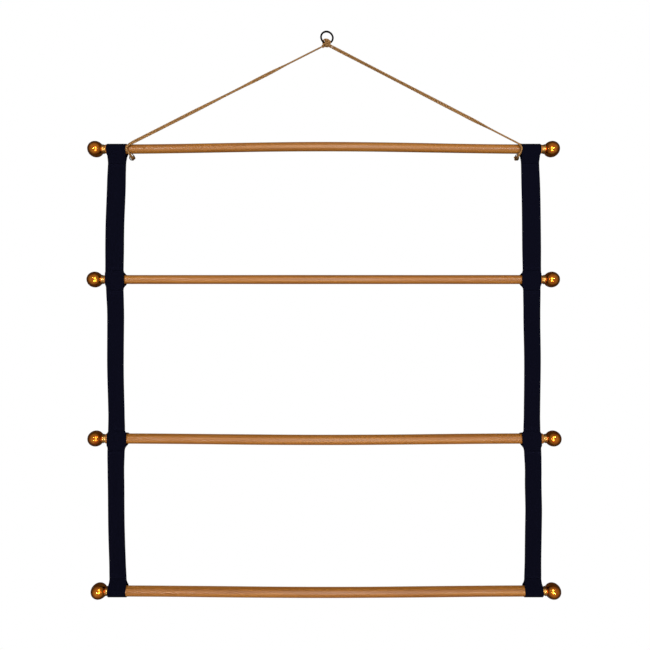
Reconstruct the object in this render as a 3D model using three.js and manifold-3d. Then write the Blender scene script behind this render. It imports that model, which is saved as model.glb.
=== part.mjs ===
// Hanging rail ladder: four wooden rails between two webbing straps, hung from a ring by a cord.
// Millimetres. +X along the rails to the right, +Z up, the front faces -Y.
// The origin is the seat of the hook, at the inner top of the hang ring.

import * as THREE from "three";
import { mergeVertices } from "three/addons/utils/BufferGeometryUtils.js";
import Module from "manifold-3d";

// ---------------------------------------------------------------- driving dimensions

const GAP = 0.3; // clearance between neighbouring pieces

const RING_INNER_RADIUS = 14;
const RING_WIRE_RADIUS = 2.5;

const RACK_CENTRE_X = -6.5; // the hitch is tied a little right of the rack's middle
const RAIL_LENGTH = [1217, 1219, 1221, 1211]; // hand cut, 1219 in name
const RAIL_AXIS_Z = [-327, -692, -1137, -1564];
const RAIL_RADIUS = [12.7, 12.7, 14.3, 14.3];
const RAIL_BOW = [7, 0, -4, -4]; // how far the middle stands above the ends
const RAIL_SHIFT_X = [-2.5, -3.5, 0, 4]; // how far the rail has slid along its sleeves

const BALL_RADIUS = 22.2;
const BALL_FLAT_X = 19; // the ball is cut flat this far from its centre, where the collar meets it
const BALL_FROM_RAIL = 29.5; // the ball's centre, past the rail's end
const COLLAR_RADIUS = 12;
const COLLAR_BEAD_RADIUS = 13.2;
const COLLAR_BEAD_WIDTH = 1.8;
const COLLAR_BEAD_EDGE = 0.8; // how far the bead's flanks slope along the neck
const COLLAR_LIP = 1; // the narrower lip between the bead and the ball
const COLLAR_LIP_RADIUS = 11.4;
const STUD_RADIUS = 4;
const STUD_IN_RAIL = 25;
const STUD_IN_BALL = 14;

const STRAP_CENTRE_X = 582; // from the middle of the rack
const WEB_WIDTH = [50.5, 47, 47]; // above each of the lower three rails
const WEB_THICKNESS = 3.4;
const SLEEVE_WIDTH = 53.5; // the webbing spreads flat where it goes round a rail
const SLEEVE_WALL = 2.2;
const SLEEVE_CLEARANCE = 0.4;
const TOP_LOOP_TIP = 40; // reach of the sewn tip below the top rail's axis
const POCKET_TIP_UP = 24; // reach of the seam above a middle rail's axis
const POCKET_TIP_DOWN = 31; // reach of the seam below a middle rail's axis
const FOLD_GAP = 2.4; // between a pocket and the webbing that folds below it
const BOTTOM_LOOP_TIP = 35; // reach of the sewn tip above the bottom rail's axis

const EYE_OFFSET_X = 539; // screw eyes, from the middle of the rack
const EYE_RING_RADIUS = 7;
const EYE_WIRE_RADIUS = 1.4;
const EYE_DROP = 23; // eye centre below the top rail's axis
const EYE_SHANK_RADIUS = 1.6;
const EYE_SHANK_DEPTH = 11; // inside the rail

const CORD_RADIUS = 4.4;
const CORD_SIDES = 8;
const CORD_STEPS = 34;
const CORD_BULGE_LEFT = 9.8; // how far the cord leans out past its screw eye as it crosses the rail
const CORD_BULGE_RIGHT = 6.8;
const HITCH_BORE_RADIUS = 3.8;
const HITCH_RADIUS = 10.8;
const HITCH_HALF_WIDTH = 9.5;
const KNOT_RADII = [7, 5.5, 6.5];
const KNOT_CENTRE_Y = 8;

const RAIL_SEGMENTS = 28;
const BOW_STEPS = 12; // along a bowed rail
const FINIAL_SEGMENTS = 16;
const ROD_SEGMENTS = 12; // studs, screw eye shanks and their holes

// ---------------------------------------------------------------- materials

const finish = (color, roughness, metalness = 0) =>
  () => new THREE.MeshStandardMaterial({ color, roughness, metalness });

const wood = finish(0xb8854c, 0.42);
const brass = finish(0xd39a45, 0.2, 1);
const copperBrass = finish(0x96501c, 0.15, 1);
const steel = finish(0x9c9c9c, 0.35, 1);
const webbing = finish(0x0e0f1e, 0.9);
const cordFibre = finish(0xb98146, 0.85);
const bronze = finish(0x1a100c, 0.35, 1);

// ---------------------------------------------------------------- helpers

const wasm = await Module();
wasm.setup();

const rack = new THREE.Group();

function addMesh(name, geometry, material) {
  const mesh = new THREE.Mesh(geometry, material());
  mesh.name = name;
  rack.add(mesh);
  return mesh;
}

function toSolid(geometry) {
  const bare = geometry.clone();
  bare.deleteAttribute("normal");
  bare.deleteAttribute("uv");
  const merged = mergeVertices(bare, 1e-4);
  return new wasm.Manifold(new wasm.Mesh({
    numProp: 3,
    vertProperties: new Float32Array(merged.attributes.position.array),
    triVerts: new Uint32Array(merged.index.array),
  }));
}

function toGeometry(solid) {
  const mesh = solid.getMesh();
  const geometry = new THREE.BufferGeometry();
  geometry.setAttribute("position", new THREE.BufferAttribute(mesh.vertProperties, 3));
  geometry.setIndex(new THREE.BufferAttribute(mesh.triVerts, 1));
  geometry.computeVertexNormals();
  return geometry;
}

// A profile of [radius, along] pairs turned about the X axis.
function turnedAboutX(profile, segments) {
  const points = profile.map(([radius, along]) => new THREE.Vector2(radius, along));
  return new THREE.LatheGeometry(points, segments).rotateZ(-Math.PI / 2);
}

// A shape drawn in the (Y, Z) plane, extruded along X and centred on x = 0.
function extrudedAlongX(shape, width, curveSegments) {
  const geometry = new THREE.ExtrudeGeometry(shape, { depth: width, bevelEnabled: false, curveSegments });
  geometry.translate(0, 0, -width / 2);
  const yAxis = new THREE.Vector3(0, 1, 0);
  const zAxis = new THREE.Vector3(0, 0, 1);
  const xAxis = new THREE.Vector3(1, 0, 0);
  return geometry.applyMatrix4(new THREE.Matrix4().makeBasis(yAxis, zAxis, xAxis));
}

// A round rope of the given radius along a list of [x, y, z] points.
function tubeAlong(route, radius, steps) {
  const curve = new THREE.CatmullRomCurve3(route.map((point) => new THREE.Vector3(...point)));
  const section = new THREE.Shape();
  for (let i = 0; i < CORD_SIDES; i += 1) {
    const angle = (2 * Math.PI * i) / CORD_SIDES;
    const x = radius * Math.cos(angle);
    const y = radius * Math.sin(angle);
    if (i === 0) {
      section.moveTo(x, y);
    } else {
      section.lineTo(x, y);
    }
  }
  section.closePath();
  return new THREE.ExtrudeGeometry(section, { steps, extrudePath: curve });
}

// ---------------------------------------------------------------- hang ring and hitch

const RING_RADIUS = RING_INNER_RADIUS + RING_WIRE_RADIUS;
const RING_CENTRE_Z = -RING_INNER_RADIUS;
const RING_BOTTOM_Z = RING_CENTRE_Z - RING_RADIUS;

function hangRing() {
  const ring = new THREE.TorusGeometry(RING_RADIUS, RING_WIRE_RADIUS, 8, 32);
  ring.rotateX(Math.PI / 2);
  addMesh("hang_ring", ring, bronze).position.z = RING_CENTRE_Z;
}

// The cord's turns round the ring's bottom wire, as one ring of oval section.
function cordHitch() {
  const profile = [];
  const sectionSteps = 12;
  const halfDepth = (HITCH_RADIUS - HITCH_BORE_RADIUS) / 2;
  const middleRadius = HITCH_BORE_RADIUS + halfDepth;
  for (let i = 0; i <= sectionSteps; i += 1) {
    const angle = (2 * Math.PI * (i % sectionSteps)) / sectionSteps;
    profile.push([middleRadius + halfDepth * Math.cos(angle), HITCH_HALF_WIDTH * Math.sin(angle)]);
  }
  addMesh("cord_hitch", turnedAboutX(profile, 16), cordFibre).position.z = RING_BOTTOM_Z;
}

// ---------------------------------------------------------------- cord legs, knots and screw eyes

const EYE_Z = RAIL_AXIS_Z[0] - EYE_DROP;

// The route of one leg from the hitch to the screw eye; in front of the top rail it bows outwards.
function cordRoute(side) {
  const eyeX = RACK_CENTRE_X + side * EYE_OFFSET_X;
  const start = [side * 12, 0, -39.4];
  const overRail = [eyeX - side * 0.5, -15.2, -316.5];
  const bulge = side * (side < 0 ? CORD_BULGE_LEFT : CORD_BULGE_RIGHT);
  const route = [];
  const straightParts = 10;
  for (let i = 0; i <= straightParts; i += 1) {
    route.push(start.map((value, axis) => value + ((overRail[axis] - value) * i) / straightParts));
  }
  route.push([eyeX + 0.3 * bulge, -17, -321]);
  route.push([eyeX + 0.78 * bulge, -18.2, -325.5]);
  route.push([eyeX + bulge, -18.6, -330.5]);
  route.push([eyeX + 0.88 * bulge, -18, -335.5]);
  route.push([eyeX + side * 5, -16.8, -339.5]);
  return route;
}

function cordLeg(label, side) {
  addMesh(`cord_${label}`, tubeAlong(cordRoute(side), CORD_RADIUS, CORD_STEPS), cordFibre);
}

// The cord's end goes through the eye from the front and is knotted behind it.
function cordKnot(label, side) {
  const eyeX = RACK_CENTRE_X + side * EYE_OFFSET_X;
  const route = [
    [eyeX + side * 2.7, -16, EYE_Z + 7.6],
    [eyeX + side * 0.6, -11.8, EYE_Z + 3.2],
    [eyeX, -5.5, EYE_Z + 0.2],
    [eyeX, 1, EYE_Z],
    [eyeX, 7, EYE_Z],
  ];
  const tail = toSolid(tubeAlong(route, CORD_RADIUS, 8));
  const ball = new THREE.SphereGeometry(1, 12, 8);
  ball.scale(...KNOT_RADII);
  ball.translate(eyeX, KNOT_CENTRE_Y, EYE_Z);
  addMesh(`cord_knot_${label}`, toGeometry(tail.add(toSolid(ball))), cordFibre);
}

function screwEye(label, side) {
  const ring = new THREE.TorusGeometry(EYE_RING_RADIUS, EYE_WIRE_RADIUS, 8, 20);
  ring.rotateX(Math.PI / 2);
  const shankTop = EYE_DROP - RAIL_RADIUS[0] + EYE_SHANK_DEPTH;
  const shankBottom = EYE_RING_RADIUS;
  const length = shankTop - shankBottom;
  const shank = new THREE.CylinderGeometry(EYE_SHANK_RADIUS, EYE_SHANK_RADIUS, length, ROD_SEGMENTS);
  shank.rotateX(Math.PI / 2);
  shank.translate(0, 0, (shankTop + shankBottom) / 2);
  const eye = addMesh(`screw_eye_${label}`, toGeometry(toSolid(ring).add(toSolid(shank))), brass);
  eye.position.set(RACK_CENTRE_X + side * EYE_OFFSET_X, 0, EYE_Z);
}

// ---------------------------------------------------------------- rails and finials

const STUD_HOLE_RADIUS = STUD_RADIUS + GAP;

// A dowel with a blind hole in each end. Its ends are level, and its middle may stand above them.
function railBlank(index) {
  const radius = RAIL_RADIUS[index];
  const bow = RAIL_BOW[index];
  const length = RAIL_LENGTH[index];
  const end = length / 2;
  const holeEnd = end - STUD_IN_RAIL - GAP;
  const profile = [[0, -holeEnd], [STUD_HOLE_RADIUS, -holeEnd], [STUD_HOLE_RADIUS, -end]];
  const steps = bow === 0 ? 1 : BOW_STEPS;
  for (let i = 0; i <= steps; i += 1) {
    profile.push([radius, -end + (length * i) / steps]);
  }
  profile.push([STUD_HOLE_RADIUS, end], [STUD_HOLE_RADIUS, holeEnd], [0, holeEnd]);
  const geometry = turnedAboutX(profile, RAIL_SEGMENTS);
  const position = geometry.attributes.position;
  for (let i = 0; i < position.count; i += 1) {
    const rise = (bow * (1 + Math.cos((Math.PI * position.getX(i)) / end))) / 2;
    position.setZ(i, position.getZ(i) + rise);
  }
  return geometry;
}

// The top rail has a blind pilot hole for each screw eye, bored from below.
function topRail() {
  let solid = toSolid(railBlank(0));
  const radius = RAIL_RADIUS[0];
  const depth = EYE_SHANK_DEPTH + 2 * GAP;
  const height = depth + radius;
  const bore = EYE_SHANK_RADIUS + GAP;
  for (const side of [-1, 1]) {
    const hole = new THREE.CylinderGeometry(bore, bore, height, ROD_SEGMENTS);
    hole.rotateX(Math.PI / 2);
    hole.translate(side * EYE_OFFSET_X - RAIL_SHIFT_X[0], 0, depth - radius - height / 2);
    solid = solid.subtract(toSolid(hole));
  }
  return toGeometry(solid);
}

function rail(index) {
  const geometry = index === 0 ? topRail() : railBlank(index);
  const mesh = addMesh(`rail_${index + 1}`, geometry, wood);
  mesh.position.set(RACK_CENTRE_X + RAIL_SHIFT_X[index], 0, RAIL_AXIS_Z[index]);
}

// A ball with a flat and a blind hole on the side that faces the rail, at -X.
function ballGeometry() {
  const flatRadius = Math.sqrt(BALL_RADIUS ** 2 - BALL_FLAT_X ** 2);
  const holeEnd = STUD_IN_BALL + GAP - BALL_FLAT_X;
  const profile = [[0, holeEnd], [STUD_HOLE_RADIUS, holeEnd], [STUD_HOLE_RADIUS, -BALL_FLAT_X]];
  const arcSteps = 8;
  const startAngle = Math.atan2(-BALL_FLAT_X, flatRadius);
  for (let i = 0; i <= arcSteps; i += 1) {
    const angle = startAngle + ((Math.PI / 2 - startAngle) * i) / arcSteps;
    const radius = i === arcSteps ? 0 : BALL_RADIUS * Math.cos(angle);
    profile.push([radius, BALL_RADIUS * Math.sin(angle)]);
  }
  return turnedAboutX(profile, FINIAL_SEGMENTS);
}

// A short neck with a raised bead, from the rail's end to the ball's flat.
function collarGeometry() {
  const start = GAP - BALL_FROM_RAIL;
  const end = -BALL_FLAT_X - GAP;
  const beadStart = end - COLLAR_LIP - COLLAR_BEAD_WIDTH - COLLAR_BEAD_EDGE;
  return turnedAboutX([
    [STUD_HOLE_RADIUS, start],
    [COLLAR_RADIUS, start],
    [COLLAR_RADIUS, beadStart],
    [COLLAR_BEAD_RADIUS, beadStart + COLLAR_BEAD_EDGE],
    [COLLAR_BEAD_RADIUS, beadStart + COLLAR_BEAD_WIDTH],
    [COLLAR_LIP_RADIUS, end - COLLAR_LIP],
    [COLLAR_LIP_RADIUS, end],
    [STUD_HOLE_RADIUS, end],
    [STUD_HOLE_RADIUS, start],
  ], FINIAL_SEGMENTS);
}

function studGeometry() {
  const start = -STUD_IN_RAIL - BALL_FROM_RAIL;
  const end = STUD_IN_BALL - BALL_FLAT_X;
  return turnedAboutX([[0, start], [STUD_RADIUS, start], [STUD_RADIUS, end], [0, end]], ROD_SEGMENTS);
}

function finial(index, label, side) {
  const fromMiddle = RAIL_LENGTH[index] / 2 + BALL_FROM_RAIL;
  const x = RACK_CENTRE_X + RAIL_SHIFT_X[index] + side * fromMiddle;
  const place = (mesh) => {
    mesh.rotation.z = side > 0 ? 0 : Math.PI;
    mesh.position.set(x, 0, RAIL_AXIS_Z[index]);
  };
  place(addMesh(`finial_ball_${index + 1}_${label}`, ballGeometry(), copperBrass));
  place(addMesh(`finial_collar_${index + 1}_${label}`, collarGeometry(), brass));
  place(addMesh(`finial_stud_${index + 1}_${label}`, studGeometry(), steel));
}

// ---------------------------------------------------------------- straps

// The angle at which a line from the point (y, z) touches a circle about the origin, on its +Y side.
function tangentAngle(y, z, radius) {
  return Math.atan2(z, y) - Math.acos(radius / Math.hypot(y, z));
}

function sleeveBore(railRadius) {
  const hole = new THREE.Path();
  hole.absarc(0, 0, railRadius + SLEEVE_CLEARANCE, 0, 2 * Math.PI, true);
  return hole;
}

// An end loop: the strap goes round the rail and is sewn to itself at a tip below it.
function loopGeometry(railRadius, reach) {
  const radius = railRadius + SLEEVE_CLEARANCE + SLEEVE_WALL;
  const halfWeb = WEB_THICKNESS / 2;
  const touch = tangentAngle(halfWeb, reach, radius);
  const shape = new THREE.Shape();
  shape.moveTo(-halfWeb, -reach);
  shape.lineTo(halfWeb, -reach);
  shape.absarc(0, 0, radius, -touch, Math.PI + touch, false);
  shape.closePath();
  shape.holes.push(sleeveBore(railRadius));
  return extrudedAlongX(shape, SLEEVE_WIDTH, 16);
}

// Where the strap's mid-plane lies, in front of a middle rail's axis.
const strapY = (railRadius) => -(railRadius + SLEEVE_CLEARANCE + WEB_THICKNESS / 2);

// A pocket: the doubled strap runs straight down in front of the rail, and a band sewn to its
// back above and below goes round behind the rail.
function pocketGeometry(railRadius) {
  const radius = railRadius + SLEEVE_CLEARANCE + SLEEVE_WALL;
  const front = strapY(railRadius) - WEB_THICKNESS / 2;
  const back = strapY(railRadius) + WEB_THICKNESS / 2;
  const shape = new THREE.Shape();
  shape.moveTo(front, POCKET_TIP_UP);
  shape.lineTo(front, -POCKET_TIP_DOWN);
  shape.lineTo(back, -POCKET_TIP_DOWN);
  const lower = -tangentAngle(back, POCKET_TIP_DOWN, radius);
  const upper = tangentAngle(back, POCKET_TIP_UP, radius);
  shape.absarc(0, 0, radius, lower, upper, false);
  shape.lineTo(back, POCKET_TIP_UP);
  shape.closePath();
  shape.holes.push(sleeveBore(railRadius));
  return extrudedAlongX(shape, SLEEVE_WIDTH, 12);
}

const LAST_RAIL = RAIL_AXIS_Z.length - 1;

function sleeve(index, label, side) {
  const radius = RAIL_RADIUS[index];
  let geometry = pocketGeometry(radius);
  if (index === 0) {
    geometry = loopGeometry(radius, TOP_LOOP_TIP);
  } else if (index === LAST_RAIL) {
    geometry = loopGeometry(radius, BOTTOM_LOOP_TIP).rotateX(Math.PI);
  }
  const mesh = addMesh(`sleeve_${index + 1}_${label}`, geometry, webbing);
  mesh.position.set(RACK_CENTRE_X + side * STRAP_CENTRE_X, 0, RAIL_AXIS_Z[index]);
}

// Where the doubled webbing between two rails begins and ends, as (y, z).
function webEnds(index) {
  const top = new THREE.Vector2(0, RAIL_AXIS_Z[index] - TOP_LOOP_TIP - 2 * GAP);
  if (index > 0) {
    top.set(strapY(RAIL_RADIUS[index]), RAIL_AXIS_Z[index] - POCKET_TIP_DOWN - FOLD_GAP);
  }
  const next = index + 1;
  const bottom = new THREE.Vector2(0, RAIL_AXIS_Z[next] + BOTTOM_LOOP_TIP + 2 * GAP);
  if (next < LAST_RAIL) {
    bottom.set(strapY(RAIL_RADIUS[next]), RAIL_AXIS_Z[next] + POCKET_TIP_UP + 2 * GAP);
  }
  return [top, bottom];
}

function web(index, label, side) {
  const [top, bottom] = webEnds(index);
  const run = top.clone().sub(bottom);
  const geometry = new THREE.BoxGeometry(WEB_WIDTH[index], WEB_THICKNESS, run.length());
  const mesh = addMesh(`web_${index + 1}_${label}`, geometry, webbing);
  mesh.rotation.x = -Math.atan2(run.x, run.y);
  mesh.position.set(RACK_CENTRE_X + side * STRAP_CENTRE_X, (top.x + bottom.x) / 2, (top.y + bottom.y) / 2);
}

// ---------------------------------------------------------------- assembly

hangRing();
cordHitch();

for (const [label, side] of [["left", -1], ["right", 1]]) {
  cordLeg(label, side);
  cordKnot(label, side);
  screwEye(label, side);
}

RAIL_AXIS_Z.forEach((_, index) => {
  rail(index);
  for (const [label, side] of [["left", -1], ["right", 1]]) {
    finial(index, label, side);
    sleeve(index, label, side);
    if (index < LAST_RAIL) {
      web(index, label, side);
    }
  }
});

export default rack;
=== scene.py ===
"""Looks of the hanging rail ladder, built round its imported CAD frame.

Metres, +X along the rails, +Z up, the front faces -Y. The origin is the hook's seat in the ring.
The pieces' places come from the frame's own boxes. The cord's route and the thickness of the ring's
and the screw eyes' wire repeat part.mjs, and the straps' sway is a short list of heights.
"""

import math

import bpy
import numpy as np
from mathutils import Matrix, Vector


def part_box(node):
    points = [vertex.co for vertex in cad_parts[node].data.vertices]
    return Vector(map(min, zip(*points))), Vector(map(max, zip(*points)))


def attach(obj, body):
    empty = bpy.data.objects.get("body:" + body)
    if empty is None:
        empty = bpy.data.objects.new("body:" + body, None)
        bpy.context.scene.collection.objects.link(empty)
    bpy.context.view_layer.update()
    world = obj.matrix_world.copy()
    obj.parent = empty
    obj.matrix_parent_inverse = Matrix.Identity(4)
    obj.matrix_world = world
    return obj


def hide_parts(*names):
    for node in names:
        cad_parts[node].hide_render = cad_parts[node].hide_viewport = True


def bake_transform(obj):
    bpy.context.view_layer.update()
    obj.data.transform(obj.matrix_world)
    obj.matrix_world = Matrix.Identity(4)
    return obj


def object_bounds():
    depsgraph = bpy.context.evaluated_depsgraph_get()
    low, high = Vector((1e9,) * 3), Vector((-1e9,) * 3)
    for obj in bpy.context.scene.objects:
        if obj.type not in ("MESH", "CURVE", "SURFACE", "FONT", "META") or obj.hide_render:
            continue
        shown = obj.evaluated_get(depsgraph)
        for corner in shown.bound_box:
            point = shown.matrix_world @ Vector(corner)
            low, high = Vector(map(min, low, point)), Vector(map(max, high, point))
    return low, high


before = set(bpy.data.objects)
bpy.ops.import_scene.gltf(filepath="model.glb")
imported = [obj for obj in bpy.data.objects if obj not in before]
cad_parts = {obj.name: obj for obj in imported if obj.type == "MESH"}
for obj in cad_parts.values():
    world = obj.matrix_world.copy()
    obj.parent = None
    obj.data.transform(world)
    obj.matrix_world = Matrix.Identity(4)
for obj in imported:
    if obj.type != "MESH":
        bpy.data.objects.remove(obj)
CAD_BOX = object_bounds()

MM = 0.001
SIDES = (("left", -1), ("right", 1))
RAILS = (1, 2, 3, 4)

# ---------------------------------------------------------------- camera

VIEW_DISTANCE = 1.55
VIEW_WIDTH = 1.82  # seen across the picture at the rails' plane
VIEW_X = -0.0051
VIEW_Z = -0.8193
SENSOR = 36.0


def add_camera():
    data = bpy.data.cameras.new("camera")
    data.sensor_width = SENSOR
    data.lens = SENSOR * VIEW_DISTANCE / VIEW_WIDTH
    camera = bpy.data.objects.new("camera", data)
    camera.location = (VIEW_X, -VIEW_DISTANCE, VIEW_Z)
    camera.rotation_euler = (math.pi / 2, 0, 0)
    bpy.context.scene.collection.objects.link(camera)
    bpy.context.scene.camera = camera


add_camera()

# ---------------------------------------------------------------- places read from the frame


def centre(node):
    low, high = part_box(node)
    return np.array((low + high) / 2)


def extent(node):
    low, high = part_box(node)
    return np.array(high - low)


RAIL_X = {i: centre(f"rail_{i}")[0] for i in RAILS}
RAIL_Z = {i: centre(f"finial_ball_{i}_left")[2] for i in RAILS}
RAIL_R = {i: extent(f"rail_{i}")[1] / 2 for i in RAILS}
RAIL_BOW = {i: 2 * (centre(f"rail_{i}")[2] - RAIL_Z[i]) for i in RAILS}
RAIL_HALF = {i: extent(f"rail_{i}")[0] / 2 for i in RAILS}
BALL_R = extent("finial_ball_1_left")[2] / 2
STRAP_X = {s: centre(f"sleeve_2_{label}")[0] for label, s in SIDES}
EYE_X = {s: centre(f"screw_eye_{label}")[0] for label, s in SIDES}
EYE_WIRE = 1.4 * MM
EYE_RING = 7 * MM
EYE_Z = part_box("screw_eye_left")[0].z + EYE_RING + EYE_WIRE
RING_LOW, RING_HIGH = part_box("hang_ring")
RING_WIRE = 2.5 * MM
RING_R = (RING_HIGH.x - RING_LOW.x) / 2 - RING_WIRE
RING_Z = (RING_LOW.z + RING_HIGH.z) / 2
HITCH_Z = RING_Z - RING_R
RAIL_BODY = {i: "hanger" if i == 1 else f"rail_{i}" for i in RAILS}
STRAP_BODY = {1: "upper_straps", 2: "middle_straps", 3: "lower_straps"}  # below each rail

# ---------------------------------------------------------------- mesh building


def new_mesh(name, verts, faces, uvs, slots):
    """A mesh piece with a UV for each face corner, in metres along and across the surface."""
    mesh = bpy.data.meshes.new(name)
    mesh.from_pydata([tuple(v) for v in verts], [], faces)
    layer = mesh.uv_layers.new(name="UVMap")
    layer.data.foreach_set("uv", np.asarray(uvs, np.float32).ravel())
    mesh.polygons.foreach_set("material_index", slots)
    mesh.polygons.foreach_set("use_smooth", [True] * len(faces))
    mesh.update()
    piece = bpy.data.objects.new(name, mesh)
    bpy.context.scene.collection.objects.link(piece)
    return piece


class Builder:
    """Collects closed tubes of rings into one mesh, each with its own material slot."""

    def __init__(self):
        self.verts = []
        self.faces = []
        self.uvs = []
        self.slots = []
        self.count = 0

    def tube(self, rings, around, along, slot=0, closed=False):
        """rings is (M, N, 3); around has N + 1 values and along has M, or M + 1 if closed."""
        rings = np.asarray(rings, float)
        m, n = rings.shape[:2]
        base = self.count
        self.verts.extend(rings.reshape(-1, 3))
        self.count += m * n
        for i in range(m if closed else m - 1):
            a = base + i * n
            b = base + ((i + 1) % m) * n
            for j in range(n):
                k = (j + 1) % n
                self.faces.append((a + j, a + k, b + k, b + j))
                self.uvs.extend([
                    (around[j], along[i]),
                    (around[j + 1], along[i]),
                    (around[j + 1], along[i + 1]),
                    (around[j], along[i + 1]),
                ])
                self.slots.append(slot)
        if not closed:
            self.cap(base, n, around, along[0], slot, True)
            self.cap(base + (m - 1) * n, n, around, along[-1], slot, False)

    def cap(self, base, n, around, along, slot, first):
        order = range(n - 1, -1, -1) if first else range(n)
        self.faces.append(tuple(base + j for j in order))
        self.uvs.extend([(around[j], along) for j in order])
        self.slots.append(slot)

    def piece(self, name):
        return new_mesh(name, self.verts, self.faces, self.uvs, self.slots)


def finish_piece(piece, materials, body, node):
    """Gives a piece its materials and the body it rides on, and hides the CAD node it stands for."""
    for material in materials:
        piece.data.materials.append(material)
    if body:
        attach(piece, body)
    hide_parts(node)


def smoothstep(low, high, value):
    t = np.clip((value - low) / (high - low), 0, 1)
    return t * t * (3 - 2 * t)


def resample(points, step):
    """Points of a polyline at an even spacing near step."""
    points = np.asarray(points, float)
    lengths = np.r_[0, np.cumsum(np.linalg.norm(np.diff(points, axis=0), axis=1))]
    count = max(2, int(round(lengths[-1] / step)) + 1)
    at = np.linspace(0, lengths[-1], count)
    return np.stack([np.interp(at, lengths, points[:, k]) for k in range(points.shape[1])], axis=1)


def relax(points, passes):
    """Rounds a polyline's corners; its ends and the way it leaves them stay."""
    points = points.copy()
    for _ in range(passes):
        points[2:-2] = (points[1:-3] + 2 * points[2:-2] + points[3:-1]) / 4
    return points


SPLINE_STEPS = 12  # between two points, before the curve is spaced evenly


def spline(points, step):
    """A Catmull-Rom curve through the points, evenly spaced."""
    points = np.asarray(points, float)
    ends = np.vstack([2 * points[0] - points[1], points, 2 * points[-1] - points[-2]])
    fine = []
    for i in range(len(points) - 1):
        p0, p1, p2, p3 = ends[i:i + 4]
        for t in np.linspace(0, 1, SPLINE_STEPS, endpoint=False):
            fine.append(0.5 * (2 * p1 + (p2 - p0) * t + (2 * p0 - 5 * p1 + 4 * p2 - p3) * t ** 2
                               + (3 * p1 - p0 - 3 * p2 + p3) * t ** 3))
    fine.append(points[-1])
    return resample(fine, step)


def frames_along(path, closed=False):
    """Two unit vectors across a path at each point, turning as little as they can along it."""
    path = np.asarray(path, float)
    if closed:
        tangents = np.roll(path, -1, axis=0) - np.roll(path, 1, axis=0)
    else:
        tangents = np.gradient(path, axis=0)
    tangents /= np.linalg.norm(tangents, axis=1)[:, None]
    guess = np.array((0.0, 1.0, 0.0))
    if abs(tangents[0] @ guess) > 0.9:
        guess = np.array((0.0, 0.0, 1.0))
    firsts = []
    for tangent in tangents:
        guess = guess - (guess @ tangent) * tangent
        guess /= np.linalg.norm(guess)
        firsts.append(guess)
    firsts = np.array(firsts)
    return firsts, np.cross(tangents, firsts)


def lengths_along(path):
    return np.r_[0, np.cumsum(np.linalg.norm(np.diff(path, axis=0), axis=1))]


TIP_R = 0.02 * MM  # a turned piece's ends aren't drawn to a point


def turned(builder, profile, x0, z0, side, segments):
    """A profile of (radius, along) turned about a line along X; along runs outwards on its side."""
    angles = np.linspace(0, 2 * np.pi, segments, endpoint=False) * side
    rings = []
    for radius, along in profile:
        radius = max(radius, TIP_R)
        rings.append(np.stack([
            np.full(segments, x0 + side * along),
            radius * np.sin(angles),
            z0 - radius * np.cos(angles),
        ], axis=1))
    widest = max(radius for radius, _ in profile)
    around = np.linspace(0, 2 * np.pi * widest, segments + 1)
    builder.tube(rings, around, lengths_along(np.array(profile, float)))


# ---------------------------------------------------------------- materials

STRAND_R = 2.3 * MM  # one of the cord's two strands
LAY_PITCH = 27 * MM  # along which its three plies turn once
YARN_PITCH = 1.1 * MM
CHEVRON = 6.25 * MM  # the width of one slope of the webbing's herringbone
TWILL_PITCH = 1.9 * MM
WARP_PITCH = 1.25 * MM


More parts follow.
